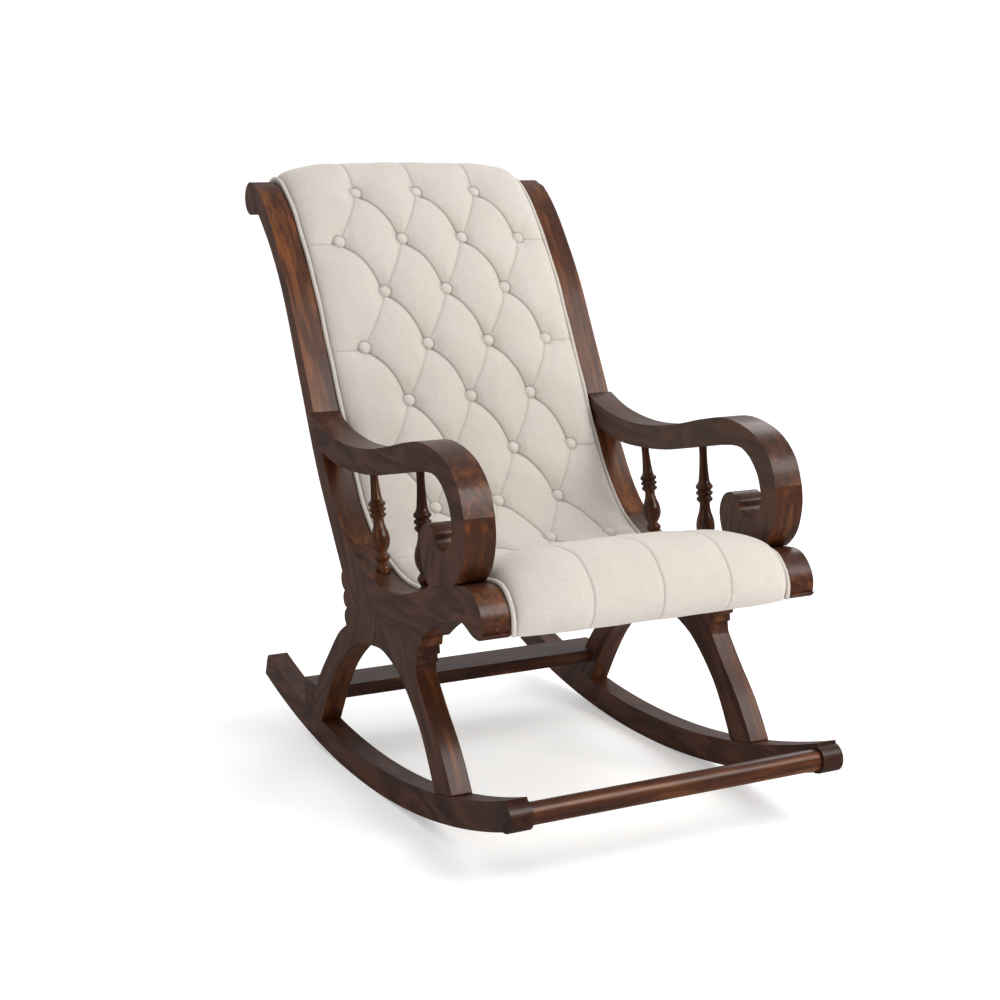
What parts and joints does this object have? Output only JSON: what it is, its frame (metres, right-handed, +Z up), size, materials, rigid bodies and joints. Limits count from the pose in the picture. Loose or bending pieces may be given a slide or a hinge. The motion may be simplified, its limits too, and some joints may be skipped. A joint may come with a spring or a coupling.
{
  "type": "rocking chair",
  "caption": "Wooden rocking chair with scrolled arms, turned spindles, curved rockers, a foot bar and one long buttoned pad over back and seat.",
  "frame": {"origin": "middle of the footprint box at floor level", "axes": "+Z up; the sitter faces -Y; +X to the sitter's left"},
  "size_m": [0.612, 1.0887, 1.0409],
  "materials": {
    "walnut_wood": "satin lacquer",
    "warm_walnut_wood": "satin lacquer",
    "inner_frame_wood": "sawn",
    "pale_dowel_wood": "plain",
    "linen_fabric": "woven",
    "webbing_fabric": "woven",
    "lining_fabric": "woven"
  },
  "bodies": {
    "root": {"right_rocker": "walnut_wood", "left_rocker": "walnut_wood", "right_rear_leg": "walnut_wood", "left_rear_leg": "walnut_wood", "right_front_leg": "walnut_wood", "left_front_leg": "walnut_wood", "right_back_post": "walnut_wood", "left_back_post": "walnut_wood", "right_seat_rail": "walnut_wood", "left_seat_rail": "walnut_wood", "right_arm": "walnut_wood", "left_arm": "walnut_wood", "right_arm_scroll": "walnut_wood", "left_arm_scroll": "walnut_wood", "right_rear_spindle": "walnut_wood", "left_rear_spindle": "walnut_wood", "right_front_spindle": "walnut_wood", "left_front_spindle": "walnut_wood", "foot_bar": "warm_walnut_wood", "rear_stretcher": "walnut_wood", "right_stretcher_block": "walnut_wood", "left_stretcher_block": "walnut_wood", "crest_rail": "inner_frame_wood", "lumbar_rail": "inner_frame_wood", "rear_seat_rail": "inner_frame_wood", "front_seat_rail": "inner_frame_wood", "long_pad": "linen_fabric", "right_piping": "linen_fabric", "left_piping": "linen_fabric", "tuft_buttons": "linen_fabric", "support_webbing": "webbing_fabric", "back_cloth": "lining_fabric", "joint_dowels": "pale_dowel_wood", "rocker_plugs": "pale_dowel_wood"}
  },
  "joints": []
}
